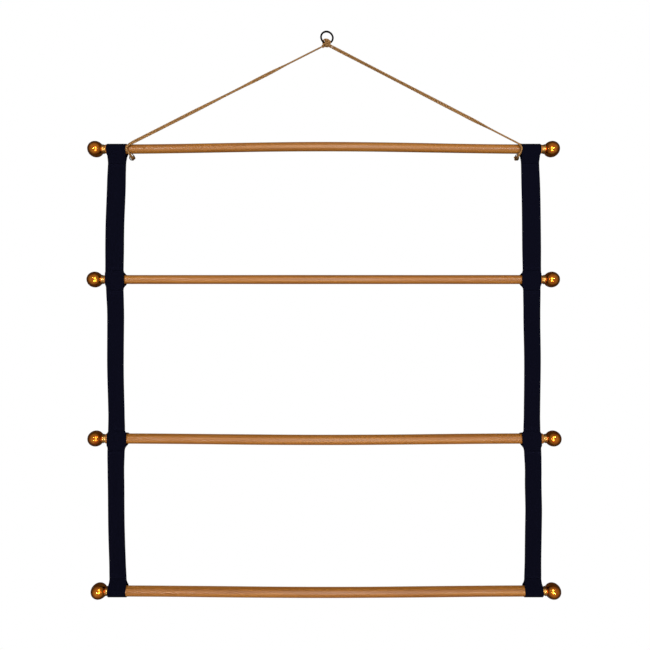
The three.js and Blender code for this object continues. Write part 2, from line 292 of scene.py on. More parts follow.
class Nodes:
    """A short way to write a node tree: every call adds a node and returns its output socket."""

    def __init__(self, name):
        self.material = bpy.data.materials.new(name)
        self.material.use_nodes = True
        self.tree = self.material.node_tree
        self.shader = self.tree.nodes["Principled BSDF"]

    def _set(self, socket, value):
        if isinstance(value, bpy.types.NodeSocket):
            self.tree.links.new(value, socket)
        elif isinstance(value, tuple) and len(value) == 3 and socket.type == "RGBA":
            socket.default_value = (*value, 1)
        else:
            socket.default_value = value

    def math(self, operation, *values):
        node = self.tree.nodes.new("ShaderNodeMath")
        node.operation = operation
        for socket, value in zip(node.inputs, values, strict=False):
            self._set(socket, value)
        return node.outputs[0]

    def coords(self, kind):
        if kind == "UV":
            node = self.tree.nodes.new("ShaderNodeUVMap")
            node.uv_map = "UVMap"
            return node.outputs[0]
        return self.tree.nodes.new("ShaderNodeTexCoord").outputs["Object"]

    def split(self, vector):
        node = self.tree.nodes.new("ShaderNodeSeparateXYZ")
        self._set(node.inputs[0], vector)
        return node.outputs

    def scaled(self, vector, scale, location=(0, 0, 0)):
        node = self.tree.nodes.new("ShaderNodeMapping")
        self._set(node.inputs["Vector"], vector)
        node.inputs["Scale"].default_value = scale
        node.inputs["Location"].default_value = location
        return node.outputs[0]

    def noise(self, vector, scale, detail=4.0, roughness=0.55, distortion=0.0):
        node = self.tree.nodes.new("ShaderNodeTexNoise")
        self._set(node.inputs["Vector"], vector)
        node.inputs["Scale"].default_value = scale
        node.inputs["Detail"].default_value = detail
        node.inputs["Roughness"].default_value = roughness
        node.inputs["Distortion"].default_value = distortion
        return node.outputs[0]

    def ramp(self, factor, *stops):
        node = self.tree.nodes.new("ShaderNodeValToRGB")
        self._set(node.inputs[0], factor)
        elements = node.color_ramp.elements
        while len(elements) < len(stops):
            elements.new(0.5)
        for element, (position, colour) in zip(elements, stops, strict=True):
            element.position = position
            element.color = (*colour, 1)
        return node.outputs[0]

    def mix(self, factor, a, b):
        node = self.tree.nodes.new("ShaderNodeMix")
        node.data_type = "RGBA"
        self._set(node.inputs[0], factor)
        self._set(node.inputs[6], a)
        self._set(node.inputs[7], b)
        return node.outputs[2]

    def spread(self, value, low, high):
        """A 0 to 1 value mapped to the range from low to high."""
        node = self.tree.nodes.new("ShaderNodeMapRange")
        self._set(node.inputs[0], value)
        node.inputs["To Min"].default_value = low
        node.inputs["To Max"].default_value = high
        return node.outputs[0]

    def bump(self, height, distance, strength, normal=None):
        node = self.tree.nodes.new("ShaderNodeBump")
        self._set(node.inputs["Height"], height)
        node.inputs["Distance"].default_value = distance
        node.inputs["Strength"].default_value = strength
        if normal is not None:
            self._set(node.inputs["Normal"], normal)
        return node.outputs[0]

    def set(self, **sockets):
        for name, value in sockets.items():
            self._set(self.shader.inputs[name.replace("_", " ")], value)
        return self.material


def linear(red, green, blue):
    """A colour given as it looks on screen, 0 to 255, as linear light."""
    parts = [value / 255 for value in (red, green, blue)]
    return tuple(p / 12.92 if p <= 0.04045 else ((p + 0.055) / 1.055) ** 2.4 for p in parts)


def wood_material():
    """Varnished pale hardwood, its grain running along the rail."""
    n = Nodes("varnished_wood")
    place = n.coords("Object")
    wander = n.noise(n.scaled(place, (1.2, 9, 9)), 3.0, 2.0)
    grain = n.noise(n.scaled(place, (2.2, 150, 150)), 1.0, 5.0, 0.6, 0.4)
    streaks = n.noise(n.scaled(place, (5, 420, 420), (3, 1, 2)), 1.0, 3.0, 0.5)
    pores = n.noise(n.scaled(place, (26, 1500, 1500), (7, 5, 1)), 1.0, 2.0, 0.5)
    base = n.ramp(grain, (0.30, linear(135, 78, 21)), (0.48, linear(163, 103, 35)),
                  (0.62, linear(181, 121, 47)), (0.78, linear(153, 92, 28)))
    warm = n.mix(n.spread(wander, 0.0, 0.45), base, linear(174, 107, 33))
    lined = n.mix(n.spread(streaks, -0.25, 0.5), warm, linear(125, 71, 20))
    dark_pores = n.ramp(pores, (0.30, (1, 1, 1)), (0.36, (0, 0, 0)))
    colour = n.mix(n.math("MULTIPLY", dark_pores, 0.35), lined, linear(98, 54, 18))
    rough = n.spread(n.noise(place, 38.0, 3.0), 0.44, 0.6)
    height = n.math("ADD", n.math("MULTIPLY", grain, 0.6), n.math("MULTIPLY", pores, 0.4))
    return n.set(Base_Color=colour, Roughness=rough, Normal=n.bump(height, 0.12 * MM, 0.6),
                 Specular_IOR_Level=0.3, Coat_Weight=0.7, Coat_Roughness=0.33)


def metal_material(name, light, dark, rough_low, rough_high, lacquer=0.0, rim=1.0):
    """Polished metal with a slightly mottled tone, fine handling marks and a clear lacquer."""
    n = Nodes(name)
    place = n.coords("Object")
    mottle = n.noise(place, 90.0, 3.0, 0.6)
    ripple = n.noise(place, 110.0, 2.0, 0.5)
    marks = n.noise(n.scaled(place, (700, 90, 90)), 1.0, 2.0)
    colour = n.mix(n.ramp(mottle, (0.35, (0, 0, 0)), (0.7, (1, 1, 1))), dark, light)
    rough = n.spread(n.math("MULTIPLY", mottle, marks), rough_low, rough_high)
    return n.set(Base_Color=colour, Metallic=1.0, Roughness=rough,
                 Normal=n.bump(marks, 0.01 * MM, 0.4, n.bump(ripple, 0.5 * MM, 0.5)),
                 Specular_Tint=(rim, rim, rim, 1.0), Coat_Weight=lacquer, Coat_Roughness=0.05)


def webbing_material(name, ridge, groove_shade, edge):
    """Herringbone webbing. U runs across the strap and V along it, in metres."""
    n = Nodes(name)
    u, v, _ = n.split(n.coords("UV"))
    slope = n.math("ADD", v, n.math("PINGPONG", u, CHEVRON))
    twill = n.math("SINE", n.math("MULTIPLY", slope, 2 * math.pi / TWILL_PITCH))
    warp = n.math("SINE", n.math("MULTIPLY", u, 2 * math.pi / WARP_PITCH))
    weave = n.math("ADD", n.math("MULTIPLY", twill, 0.3), n.math("MULTIPLY", warp, 0.2))
    height = n.math("ADD", weave, 0.5)
    place = n.coords("Object")
    fibre = n.noise(n.scaled(place, (2600, 2600, 500)), 1.0, 2.0)
    patches = n.noise(place, 14.0, 3.0)
    # painted shade: the weave's grooves are painted darker than its ridges
    thread = n.mix(height, groove_shade, ridge)
    faded = n.mix(n.spread(patches, 0.0, 0.35), thread, edge)
    colour = n.mix(n.math("MULTIPLY", fibre, 0.3), faded, ridge)
    rough = n.spread(fibre, 0.72, 0.92)
    weft = n.bump(height, 0.28 * MM, 0.9)
    return n.set(Base_Color=colour, Roughness=rough, Normal=n.bump(fibre, 0.06 * MM, 0.5, weft),
                 Specular_IOR_Level=0.03)


def cord_material():
    """Tan laid cord. U runs round the strand from a ply's middle and V along it, in metres."""
    n = Nodes("laid_cord")
    u, v, _ = n.split(n.coords("UV"))
    place = n.coords("Object")
    turn = n.math("MULTIPLY", v, 2 * math.pi / LAY_PITCH)
    lay = n.math("SUBTRACT", n.math("DIVIDE", u, STRAND_R), turn)
    ply = n.math("ABSOLUTE", n.math("COSINE", n.math("MULTIPLY", lay, 1.5)))
    groove_shade = n.ramp(ply, (0.08, (0, 0, 0)), (0.5, (1, 1, 1)))
    slant = n.math("ADD", v, n.math("MULTIPLY", u, 1.6))
    yarn = n.math("SINE", n.math("MULTIPLY", slant, 2 * math.pi / YARN_PITCH))
    fuzz = n.noise(n.scaled(place, (1800, 1800, 1800)), 1.0, 3.0)
    patches = n.noise(place, 60.0, 3.0)
    tone = n.spread(yarn, 0.35, 0.65)
    thread = n.ramp(tone, (0.0, linear(134, 88, 39)), (1.0, linear(190, 147, 88)))
    colour = n.mix(n.spread(patches, 0.0, 0.6), thread, linear(154, 101, 44))
    fibres = n.mix(n.math("MULTIPLY", fuzz, 0.3), colour, linear(200, 163, 107))
    # painted shade: the grooves between the plies are painted a deep brown
    shaded = n.mix(groove_shade, linear(70, 38, 10), fibres)
    height = n.math("ADD", n.math("MULTIPLY", yarn, 0.3), fuzz)
    return n.set(Base_Color=shaded, Roughness=n.spread(fuzz, 0.7, 0.95),
                 Normal=n.bump(height, 0.15 * MM, 0.8))


def floor_material():
    """A pale floor with a painted glow, dimmer in its middle and white towards its rim."""
    n = Nodes("pale_floor")
    x, y, _ = n.split(n.coords("Object"))
    reach = n.math("SQRT", n.math("ADD", n.math("MULTIPLY", x, x), n.math("MULTIPLY", y, y)))
    speckle = n.noise(n.coords("Object"), 30.0, 4.0)
    colour = n.mix(speckle, linear(232, 232, 230), linear(242, 242, 240))
    # painted light: the floor glows with its own emission, dimmer in the middle and white at the rim
    painted_glow = n.ramp(reach, (0.4, (0.7, 0.7, 0.7)), (1.0, (1, 1, 1)))
    return n.set(Base_Color=colour, Roughness=0.9, Specular_IOR_Level=0.0,
                 Emission_Color=painted_glow, Emission_Strength=1.0)


WOOD = wood_material()
COPPER = metal_material("copper_toned", linear(250, 158, 50), linear(216, 104, 24), 0.06, 0.15, 0.2)
BRASS = metal_material("polished_brass", linear(240, 188, 108), linear(222, 158, 78), 0.26, 0.42)
AGED_BRASS = metal_material("aged_brass", linear(96, 62, 34), linear(36, 20, 10), 0.25, 0.5)
STEEL = metal_material("zinc_steel", linear(176, 176, 176), linear(132, 132, 134), 0.3, 0.5)
BRONZE = metal_material("dark_bronze", linear(15, 8, 6), linear(5, 3, 2), 0.45, 0.7, rim=0.15)
# Their second colours are painted shade for the weave's grooves.
WEBBING = webbing_material("navy_webbing", linear(12, 13, 31), linear(2, 2, 8), linear(5, 6, 19))
THREAD = webbing_material("navy_thread", linear(28, 30, 54), linear(10, 11, 26), linear(18, 19, 38))
CORD = cord_material()

# ---------------------------------------------------------------- cords

STRAND_SIDES = 21
STRAND_APART = 0.97 * STRAND_R  # from a doubled cord's middle to each strand's
PATH_STEP = 0.9 * MM
LEG_STEP = 1.6 * MM
LEG_PHASE = 1.3  # between the plies of a leg's two strands
LOBE_DEPTH = 0.16
END_TAPER = 0.25
CORD_BULGE = {-1: -9.8 * MM, 1: 6.8 * MM}  # how far each leg leans past its eye over the rail


def leg_route(side):
    """The leg's route, as in part.mjs."""
    eye = EYE_X[side]
    bulge = CORD_BULGE[side]
    start = np.array((side * 0.012, 0, -0.0394))
    over = np.array((eye - side * 0.0005, -0.0152, -0.3165))
    route = [start + (over - start) * i / 10 for i in range(11)]
    route.append((eye + 0.3 * bulge, -0.017, -0.321))
    route.append((eye + 0.78 * bulge, -0.0182, -0.3255))
    route.append((eye + bulge, -0.0186, -0.3305))
    route.append((eye + 0.88 * bulge, -0.018, -0.3355))
    route.append((eye + side * 0.005, -0.0168, -0.3395))
    return np.array(route)


def laid_strand(builder, path, phase, radius=STRAND_R, closed=False):
    """A three-ply cord along a path: its section has three soft lobes that turn along it."""
    path = np.asarray(path, float)
    first, second = frames_along(path, closed)
    along = lengths_along(path)
    theta = np.linspace(0, 2 * np.pi, STRAND_SIDES, endpoint=False)
    rings = []
    for i, point in enumerate(path):
        turn = phase + 2 * np.pi * along[i] / LAY_PITCH
        lobe = 1 - LOBE_DEPTH + LOBE_DEPTH * np.abs(np.cos(1.5 * (theta - turn))) ** 0.7
        taper = 1.0
        if not closed:
            from_end = min(i, len(path) - 1 - i) / len(path)
            taper = 1 - END_TAPER + END_TAPER * min(1.0, 60 * from_end)
        offsets = radius * taper * lobe
        rings.append(point + (offsets * np.cos(theta))[:, None] * first[i]
                     + (offsets * np.sin(theta))[:, None] * second[i])
    around = (np.linspace(0, 2 * np.pi, STRAND_SIDES + 1) - phase) * STRAND_R
    if closed:
        along = np.r_[along, along[-1] + np.linalg.norm(path[0] - path[-1])]
    builder.tube(rings, around, along, closed=closed)


# Seen from the front and a little below, one strand hides the other at this turn about each other.
HIDDEN = {-1: 1.14, 1: 2.0}


def leg_turn(side, along):
    """How far the two strands of a leg have turned about each other, at lengths in metres from the
    hitch: 0 is side by side from the front, and over the rail one lies behind the other."""
    hidden = HIDDEN[side]
    over_rail = 1 - smoothstep(0.012, 0.05, along[-1] - along)
    if side < 0:
        lie = hidden * (1 - smoothstep(0.10, 0.18, along) + over_rail)
        wobble = 0.75 * np.sin((along - 0.18) / 0.065)
        return lie + wobble * smoothstep(0.17, 0.26, along) * (1 - smoothstep(0.36, 0.48, along))
    lie = 0.75 + 0.35 * np.sin((along - 0.02) / 0.09) * smoothstep(0, 0.1, along)
    return lie * (1 - smoothstep(0.30, 0.42, along)) + hidden * smoothstep(0.40, 0.52, along)


def leg_strands(path, side):
    """The two strands' centrelines along a leg."""
    along = lengths_along(path)
    turn = leg_turn(side, along)
    tangents = np.gradient(path, axis=0)
    tangents /= np.linalg.norm(tangents, axis=1)[:, None]
    depth = np.array((0.0, 1.0, 0.0)) - tangents * tangents[:, 1:2]
    depth /= np.linalg.norm(depth, axis=1)[:, None]
    flat = np.cross(depth, tangents)
    offset = STRAND_APART * (np.cos(turn)[:, None] * flat + np.sin(turn)[:, None] * depth)
    return path + offset, path - offset


def cord_leg(label, side):
    route = leg_route(side)
    path = spline(route, LEG_STEP)
    builder = Builder()
    for phase, strand in enumerate(leg_strands(path, side)):
        laid_strand(builder, strand, phase * LEG_PHASE)
    leg = builder.piece(f"cord_leg_{label}")
    finish_piece(leg, [CORD], "hanger", f"cord_{label}")
    return path


def arc_points(middle, radius, start, end, count):
    """Points of an arc in the plane of depth and height, between two angles in degrees."""
    angles = np.radians(np.linspace(start, end, count))
    return [middle + radius * np.array((0, math.cos(a), math.sin(a))) for a in angles]


TURN_PLACES = (-3.9, 0.5, 4.9)  # mm across, where each turn passes over the ring's wire
# The knot's strands, in mm from the ring's lowest wire: the bight's outer, inner and back strands,
# then the two that cross in front.
HITCH_STRANDS = (
    ((-7.5, 5.4, -3), (-10.4, 5.2, 3.4), (-10.2, 2, 7.4), (-7.2, -1.8, 8.7), (-2.6, -4.4, 8.8),
     (2.4, -5, 7.4), (6.2, -5, 5.2), (8.8, -4.4, 2), (7.8, -3, -4)),
    ((-4.6, 5, 2.6), (-3.8, 0.4, 5.4), (-0.6, -5.4, 5), (3, -6.6, 3), (4.8, -6.4, 0)),
    ((6.4, 3, -4), (8.8, 4.4, 2), (5, 5.2, 5.8), (-1, 5.4, 6.4), (-6, 5.2, 4)),
    ((-2.8, -5.4, 3.6), (-4.2, -6.6, -0.6), (-2.4, -7.6, -4.4), (3.2, -5.6, -8.4)),
    ((5.8, -6, 1), (4, -8, -1.6), (-0.2, -10.4, -4), (-5, -7.2, -7.4)),
)
HITCH_TAIL = ((-3, -4, -5), (-8, -5, -4.2), (-12, -4.6, -3.6))


def ring_radius(angle):
    """The hang ring's radius at an angle from its lowest point: it is a little out of round."""
    lean = angle - math.pi / 4
    return RING_R + 0.75 * MM * np.cos(2 * lean) + 0.4 * MM * np.cos(lean)


def hitch_piece():
    """A knot of the doubled cord: turns over the ring's bottom wire, a bight that rises behind
    the wire and is drawn across their top, and two strands crossing in front."""
    builder = Builder()
    base = np.array((0.0, 0.0, HITCH_Z))
    turn_r = RING_WIRE + STRAND_R + 0.1 * MM
    for i, x in enumerate(TURN_PLACES):
        angle = math.asin(x * MM / RING_R)
        middle = np.array((x * MM, 0.0, RING_Z - ring_radius(angle) * math.cos(angle)))
        low, lower = HITCH_Z - 5.6 * MM, HITCH_Z - 8.6 * MM
        front = [(0.4 * x * MM, -2.6 * MM, lower), (0.76 * x * MM, -4.6 * MM, low)]
        over = arc_points(middle, turn_r, 200, -20, 15)
        back = [(across, -depth, height) for across, depth, height in reversed(front)]
        laid_strand(builder, spline(front + over + back, PATH_STEP), i * 0.9)
    for i, points in enumerate(HITCH_STRANDS):
        laid_strand(builder, spline(base + np.array(points) * MM, PATH_STEP), 0.4 + i)
    tail = base + np.array(HITCH_TAIL) * MM
    laid_strand(builder, spline(tail, PATH_STEP), 0.2, STRAND_R * 0.8)
    for _, side in SIDES:
        route = leg_route(side)
        heading = (route[1] - route[0]) / np.linalg.norm(route[1] - route[0])
        lead = np.array([route[0] + heading * at * MM for at in (-12, -8, -4, 1.5)])
        for phase, strand in enumerate(leg_strands(spline(lead, PATH_STEP), side)):
            laid_strand(builder, strand, phase * LEG_PHASE)
    hitch = builder.piece("cord_hitch_turns")
    finish_piece(hitch, [CORD], "hanger", "cord_hitch")


def knot_piece(label, side):
    """The leg's end: both strands go through the screw eye and end in a trefoil knot behind it."""
    builder = Builder()
    eye = np.array((EYE_X[side], 0, EYE_Z))
    route = np.array(((5.2 * side, -17, 11.4), (2.7 * side, -16, 7.6), (0.6 * side, -11.8, 3.2),
                      (0, -5.5, 0.2), (0, 1, 0), (0, 5, 0)))
    path = spline(eye + route * MM, PATH_STEP)
    apart = np.cross(np.gradient(path, axis=0), (1.0, 0.0, 0.0))
    apart *= STRAND_APART / np.linalg.norm(apart, axis=1)[:, None]
    for i, strand in enumerate((path + apart, path - apart)):
        laid_strand(builder, strand, i * 1.7)
    turns = np.linspace(0, 2 * np.pi, 120, endpoint=False)
    lump = np.stack([
        (np.sin(turns) + 2 * np.sin(2 * turns)) * 1.6,
        np.sin(3 * turns) * 2.4 + 8.0,
        (np.cos(turns) - 2 * np.cos(2 * turns)) * 1.5,
    ], axis=1) * MM + eye
    laid_strand(builder, lump, 0.4, closed=True)
    tail = np.array(((2 * side, 8, 1), (5 * side, 9.6, 3.4), (7.6 * side, 9.4, 4.6)))
    laid_strand(builder, spline(eye + tail * MM, PATH_STEP), 0.9, STRAND_R * 0.9)
    knot = builder.piece(f"cord_end_knot_{label}")
    finish_piece(knot, [CORD], "hanger", f"cord_knot_{label}")


for label, side in SIDES:
    cord_leg(label, side)
    knot_piece(label, side)
hitch_piece()

# ---------------------------------------------------------------- ring and screw eyes


def round_section(path, radius, sides, closed):
    first, second = frames_along(path, closed)
    theta = np.linspace(0, 2 * np.pi, sides, endpoint=False)
    rings = []
    for i, point in enumerate(path):
        rings.append(point + (radius[i] * np.cos(theta))[:, None] * first[i]
                     + (radius[i] * np.sin(theta))[:, None] * second[i])
    return rings


def ring_piece():
    """The hang ring: bent wire, welded, very slightly out of round."""
    count, sides = 120, 24
    angles = np.linspace(0, 2 * np.pi, count, endpoint=False)
    radius = ring_radius(angles)
    height = RING_Z - radius * np.cos(angles)
    path = np.stack([radius * np.sin(angles), np.zeros(count), height], axis=1)
    wire = RING_WIRE + 0.03 * MM * np.sin(5 * angles)
    builder = Builder()
    steps = np.linspace(0, 2 * np.pi * RING_R, count + 1)
    around = np.linspace(0, 2 * np.pi * RING_WIRE, sides + 1)
    builder.tube(round_section(path, wire, sides, True), around, steps, closed=True)
    ring = builder.piece("hang_ring_wire")
    finish_piece(ring, [BRONZE], "ring", "hang_ring")


EYE_FACING = {-1: math.radians(-8), 1: math.radians(34)}  # how far each screw eye is turned
EYE_SWEEP = (105, 445)  # degrees, from the wire's free end round to the shank
EYE_SIDES = 12
THREAD_TURNS = 5
THREAD_R = 1.35 * MM
THREAD_WIRE = 0.3 * MM
THREAD_SIDES = 6


def eye_piece(label, side):
    """A screw eye: a shank with a few turns of thread, bent round into a ring that nearly closes."""
    builder = Builder()
    facing = EYE_FACING[side]
    eye = np.array((EYE_X[side], 0, EYE_Z))
    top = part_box(f"screw_eye_{label}")[1].z
    sweep = np.radians(np.linspace(*EYE_SWEEP, 56))
    pointed = EYE_RING * (1 + 0.08 * np.maximum(0, -np.sin(sweep)) ** 5)
    across, rise = pointed * np.cos(sweep), pointed * np.sin(sweep)
    bend = np.stack([across * math.cos(facing), across * math.sin(facing), rise], axis=1)
    shank = np.array([(0, 0, EYE_RING + z * MM) for z in (3.5, 6, 9)])
    start = eye + np.array((0.3 * MM, 0, 0))
    path = spline(np.vstack([eye + bend[:-4], start + shank]), 0.6 * MM)
    path[:, 2] = np.minimum(path[:, 2], top)
    wire = np.full(len(path), EYE_WIRE)
    wire[:3] = EYE_WIRE * np.array((0.6, 0.85, 0.97))  # its free end is rounded off
    around = np.linspace(0, 2 * np.pi * EYE_WIRE, EYE_SIDES + 1)
    builder.tube(round_section(path, wire, EYE_SIDES, False), around, lengths_along(path))
    turns = np.linspace(0, THREAD_TURNS * 2 * np.pi, 100)
    shank_top = path[-1][2]
    climb = shank_top - 1 * MM - eye[2] + turns / turns[-1] * (top - shank_top)
    thread = start + np.stack([THREAD_R * np.cos(turns), THREAD_R * np.sin(turns), climb], axis=1)
    slim = np.full(len(thread), THREAD_WIRE)
    around = np.linspace(0, 1 * MM, THREAD_SIDES + 1)
    builder.tube(round_section(thread, slim, THREAD_SIDES, False), around, lengths_along(thread))
    piece = builder.piece(f"screw_eye_wire_{label}")
    finish_piece(piece, [AGED_BRASS], "hanger", f"screw_eye_{label}")


ring_piece()
for label, side in SIDES:
    eye_piece(label, side)

# ---------------------------------------------------------------- rails and finials

STUD_BORE = 4.3 * MM
RAIL_BEVEL = 0.8 * MM
RAIL_SIDES = 56
NECK_SIDES = 48


def rail_piece(index):
    """A round rail with eased ends and a very slight unevenness, bowed as the CAD's is."""
    radius, half, bevel = RAIL_R[index], RAIL_HALF[index], RAIL_BEVEL
    end = [(STUD_BORE, half), (radius - bevel, half), (radius - bevel * 0.3, half - bevel * 0.3)]
    profile = [(r, -x) for r, x in end]
    for x in np.linspace(-half + bevel, half - bevel, 120):
        ripple = 0.08 * MM * math.sin(x * 9 + index) + 0.05 * MM * math.sin(x * 23 + 2 * index)
        profile.append((radius - 0.13 * MM + ripple, x))
    profile += end[::-1]
    builder = Builder()
    turned(builder, profile, RAIL_X[index], RAIL_Z[index], 1, RAIL_SIDES)
    piece = builder.piece(f"rail_{index}_dowel")
    for vertex in piece.data.vertices:
        share = (vertex.co.x - RAIL_X[index]) / half
        vertex.co.z += RAIL_BOW[index] * (1 + math.cos(math.pi * share)) / 2
    finish_piece(piece, [WOOD], RAIL_BODY[index], f"rail_{index}")


def finial_pieces(index, label, side):
    """A polished ball and its neck, which has a bead next to the ball."""
    body = RAIL_BODY[index]
    x0 = RAIL_X[index] + side * RAIL_HALF[index]
    low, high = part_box(f"finial_ball_{index}_{label}")
    flat_x, outer = sorted((abs(low.x - x0), abs(high.x - x0)))
    ball_x = outer - BALL_R
    ball = Builder()
    start = math.asin((flat_x - ball_x) / BALL_R)
    profile = [(STUD_BORE, flat_x)]
    for a in np.linspace(start, math.pi / 2, 30):
        profile.append((BALL_R * math.cos(a), ball_x + BALL_R * math.sin(a)))
    turned(ball, profile, x0, RAIL_Z[index], side, RAIL_SIDES)
    piece = ball.piece(f"finial_ball_{index}_{label}_polished")
    finish_piece(piece, [COPPER], body, f"finial_ball_{index}_{label}")
    collar = Builder()
    # The neck's profile in mm, as (radius, along): a flared foot, a waist and a bead by the ball.
    end = flat_x / MM - 0.2
    bead = end - 2.3
    profile = [(5, 0.3), (11.4, 0.3), (12, 0.9), (11.75, 2.4), (11.65, bead - 2.6), (11.9, bead - 1.3)]
    for a in np.linspace(-math.pi / 2, math.pi / 2, 9):
        profile.append((12.2 + 0.95 * math.cos(a), bead + 1.1 * math.sin(a)))
    profile += [(11.5, bead + 1.5), (11.3, end - 0.4), (11.1, end), (5, end)]
    turned(collar, np.array(profile) * MM, x0, RAIL_Z[index], side, NECK_SIDES)
    piece = collar.piece(f"finial_neck_{index}_{label}")
    finish_piece(piece, [BRASS], body, f"finial_collar_{index}_{label}")


for index in RAILS:
    rail_piece(index)
    for label, side in SIDES:
        finial_pieces(index, label, side)
        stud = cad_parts[f"finial_stud_{index}_{label}"]
        stud.data.materials.clear()
        stud.data.materials.append(STEEL)

# ---------------------------------------------------------------- straps

WEB_W = 50 * MM
LAYER = 1.65 * MM
LAYER_GAP = 0.1 * MM
LAYER_EASE = 0.35 * MM  # the most that each layer eases away from the middle
FABRIC_ON_RAIL = 0.35 * MM
RING_STEP = 3 * MM  # between a straight layer's sections
BEND_STEP = 1.5 * MM  # between those of one that goes round a rail
BAND_SEAM = 5 * MM  # the flat length at each end of a pocket's back band
LOOP_SEAM = 3 * MM  # and at each end of a loop

# At heights along each strap: how far it lies outside its nominal place, in mm, and how far it is
# turned, in degrees. Its width is the same on both sides: it spreads flat where it meets a rail.
SWAY = {
    -1: ((-0.30, -2.5), (-0.42, -0.5), (-0.55, 1.5), (-0.68, 0.5), (-0.80, -3), (-0.92, -2.5),
         (-1.10, -6), (-1.24, -3), (-1.38, -2), (-1.56, -4)),
    1: ((-0.30, -7), (-0.47, -5.5), (-0.69, -7), (-0.80, -7), (-0.92, -5.5), (-1.11, -7.5),
        (-1.24, -2.5), (-1.35, 0.5), (-1.56, 1)),
}
TWIST = {
    -1: ((-0.37, 0), (-0.43, 5), (-0.60, 4), (-0.665, 0), (-0.725, -1), (-0.78, -5), (-0.93, -6),
         (-1.07, -6), (-1.112, -0.2), (-1.17, -0.2), (-1.22, -6), (-1.36, -7), (-1.48, -5), (-1.53, 0)),
    1: ((-0.37, 0), (-0.43, -5), (-0.60, -5), (-0.665, 0), (-0.725, 1), (-0.78, 5), (-0.93, 6),
        (-1.07, 6), (-1.112, 0.2), (-1.17, 0.2), (-1.22, 6), (-1.36, 5), (-1.48, 5), (-1.53, 0)),
}


def along_strap(table, z):
    """Smoothly follows a short table of (height, value) pairs."""
    heights = np.array([row[0] for row in table])[::-1]
    values = np.array([row[1] for row in table], float)[::-1]
    z = np.clip(z, heights[0], heights[-1])
    k = np.clip(np.searchsorted(heights, z) - 1, 0, len(heights) - 2)
    t = (z - heights[k]) / (heights[k + 1] - heights[k])
    t = t * t * (3 - 2 * t)
    return values[k] + (values[k + 1] - values[k]) * t


def hang(points, side, pivot_y):
    """Moves points of a straight strap, x across and about 0, to where the strap really hangs."""
    points = np.asarray(points, float)
    z = points[..., 2]
    turn = np.radians(along_strap(TWIST[side], z))
    outward = along_strap(SWAY[side], z) * MM
    x, y = points[..., 0], points[..., 1] - pivot_y
    moved = np.empty_like(points)
    moved[..., 0] = STRAP_X[side] + side * outward + x * np.cos(turn) - y * np.sin(turn)
    moved[..., 1] = pivot_y + x * np.sin(turn) + y * np.cos(turn)
    moved[..., 2] = z
    return moved


SPREAD_WIDTH = {1: 54 * MM, 2: 53 * MM, 3: 53.5 * MM, 4: 51 * MM}  # over each rail
GAP_WIDTH = {1: 50.5 * MM, 2: 48 * MM, 3: 47.4 * MM}  # below each rail
NARROWED = 1.6 * MM  # how much narrower the strap is just above rail 3
SPREAD_REACH = 1 * MM  # past the rail, as far as the strap keeps its width over it
GAP_REACH = 9 * MM  # past the rail, where it is narrow again


def width_keys():
    """The strap's width at heights along it, wide over a rail and narrow a little way off it."""
    keys = []
    for i in RAILS:
        top, bottom = RAIL_Z[i] + RAIL_R[i], RAIL_Z[i] - RAIL_R[i]
        if i > 1:
            keys.append((top + GAP_REACH, GAP_WIDTH[i - 1] - (NARROWED if i == 3 else 0)))
        keys.append((top + SPREAD_REACH, SPREAD_WIDTH[i]))
        keys.append((bottom - SPREAD_REACH, SPREAD_WIDTH[i]))
        if i < 4:
            keys.append((bottom - GAP_REACH, GAP_WIDTH[i]))
    return tuple(keys)


WIDTH = width_keys()


def layer_section():
    """The section of one layer of webbing as (across, out): flat faces, thicker selvedges."""
    half = WEB_W / 2
    edge = np.array((1, 0.985, 0.96, 0.9, 0.86, 0.6, 0.3))
    thick = np.array((0.15, 0.38, 0.5, 0.48, 0.42, 0.44, 0.46))
    across = np.r_[-edge, 0, edge[::-1]]
    out = np.r_[thick, 0.47, thick[::-1]]
    return np.r_[across, across[::-1]] * half, np.r_[out, -out[::-1]] * LAYER


SECTION_ACROSS, SECTION_OUT = layer_section()
SECTION_U = np.r_[SECTION_ACROSS, SECTION_ACROSS[0]] + WEB_W / 2


def ribbon(builder, path, side, pivot_y, start_v=0.0):
    """One layer of webbing along a (y, z) path; out is to the path's left as it runs."""
    path = np.asarray(path, float)
    tangents = np.gradient(path, axis=0)
    tangents /= np.linalg.norm(tangents, axis=1)[:, None]
    normals = np.stack([-tangents[:, 1], tangents[:, 0]], axis=1)
    widths = along_strap(WIDTH, path[:, 1]) / WEB_W
    rings = []
    for point, normal, width in zip(path, normals, widths, strict=True):
        ring = np.empty((len(SECTION_ACROSS), 3))
        ring[:, 0] = SECTION_ACROSS * width
        ring[:, 1] = point[0] + normal[0] * SECTION_OUT
        ring[:, 2] = point[1] + normal[1] * SECTION_OUT
        rings.append(ring)
    pivots = pivot_y(path[:, 1]) if callable(pivot_y) else np.full(len(path), pivot_y)
    moved = [hang(ring, side, pivot) for ring, pivot in zip(rings, pivots, strict=True)]
    builder.tube(moved, SECTION_U, start_v + lengths_along(path))


STITCH_PITCH = 3.6 * MM
STITCH_SIDES = 6
STITCH_STAND = 0.12 * MM  # of its middle off the webbing's face
STITCH_THICK = 0.34 * MM  # half its thickness
STITCH_BROAD = 0.42 * MM  # half its breadth
STITCH_PLACES = np.arange(-5.5, 6)  # along a row, in pitches from its middle
STITCH_SHAPE = ((-1.3, 0.35), (-0.9, 0.85), (0, 1.0), (0.9, 0.85), (1.3, 0.35))  # along, thickness


